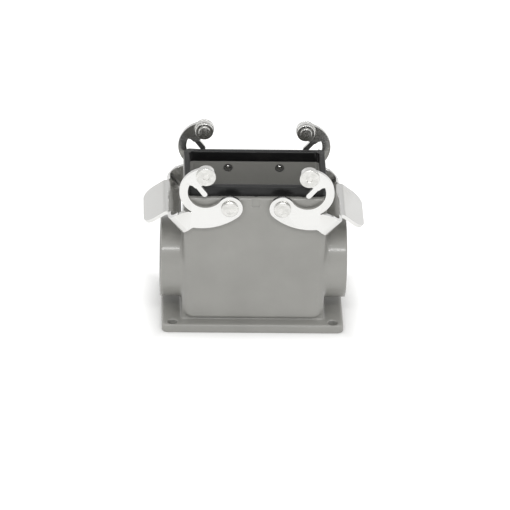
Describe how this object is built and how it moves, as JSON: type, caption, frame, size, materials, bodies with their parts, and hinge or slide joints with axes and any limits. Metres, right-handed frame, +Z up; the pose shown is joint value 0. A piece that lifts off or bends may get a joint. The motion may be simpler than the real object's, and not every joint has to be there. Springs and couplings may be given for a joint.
{
  "type": "connector base housing",
  "caption": "Surface-mounting cast base housing for a rectangular multi-pole connector, with two swinging locking levers, a rim gasket and threaded cable entries at both ends.",
  "frame": {"origin": "centre of the mounting face, at the bottom of the flange", "axes": "+X along the housing towards the right lever, +Y towards the back wall, +Z up out of the opening"},
  "size_m": [0.1124, 0.0538, 0.0956],
  "materials": {
    "cast_housing": "warm grey powder coat, satin, slight orange peel",
    "gasket_rubber": "matt black",
    "lever_steel": "bright, lightly brushed",
    "roller_steel": "turned, bright",
    "rivet_steel": "turned, bright"
  },
  "bodies": {
    "housing": {"housing_body": "cast_housing", "rim_gasket": "gasket_rubber", "pivot_stud_left_front": "rivet_steel", "pivot_stud_left_back": "rivet_steel", "pivot_stud_right_front": "rivet_steel", "pivot_stud_right_back": "rivet_steel", "pivot_washer_left_front": "rivet_steel", "pivot_washer_left_back": "rivet_steel", "pivot_washer_right_front": "rivet_steel", "pivot_washer_right_back": "rivet_steel", "pivot_seal_left_front": "gasket_rubber", "pivot_seal_left_back": "gasket_rubber", "pivot_seal_right_front": "gasket_rubber", "pivot_seal_right_back": "gasket_rubber"},
    "lever_left": {"lever_left": "lever_steel", "roller_pin_left_front": "rivet_steel", "roller_pin_left_back": "rivet_steel"},
    "roller_left_front": {"roller_left_front": "roller_steel"},
    "roller_left_back": {"roller_left_back": "roller_steel"},
    "lever_right": {"lever_right": "lever_steel", "roller_pin_right_front": "rivet_steel", "roller_pin_right_back": "rivet_steel"},
    "roller_right_front": {"roller_right_front": "roller_steel"},
    "roller_right_back": {"roller_right_back": "roller_steel"}
  },
  "joints": [
    {"name": "lever_left_swing", "type": "hinge", "parent": "housing", "child": "lever_left", "pos_m": [-0.0132, 0, 0.0722], "axis": [0, 1, 0], "range_deg": [-2.5, 45]},
    {"name": "lever_right_swing", "type": "hinge", "parent": "housing", "child": "lever_right", "pos_m": [0.0132, 0, 0.0722], "axis": [0, -1, 0], "range_deg": [0, 47.5]},
    {"name": "roller_left_front_spin", "type": "hinge", "parent": "lever_left", "child": "roller_left_front", "pos_m": [-0.0256, 0, 0.0906], "axis": [0, 1, 0], "continuous": true},
    {"name": "roller_left_back_spin", "type": "hinge", "parent": "lever_left", "child": "roller_left_back", "pos_m": [-0.0256, 0, 0.0906], "axis": [0, 1, 0], "continuous": true},
    {"name": "roller_right_front_spin", "type": "hinge", "parent": "lever_right", "child": "roller_right_front", "pos_m": [0.02639, 0, 0.09004], "axis": [0, 1, 0], "continuous": true},
    {"name": "roller_right_back_spin", "type": "hinge", "parent": "lever_right", "child": "roller_right_back", "pos_m": [0.02639, 0, 0.09004], "axis": [0, 1, 0], "continuous": true}
  ]
}
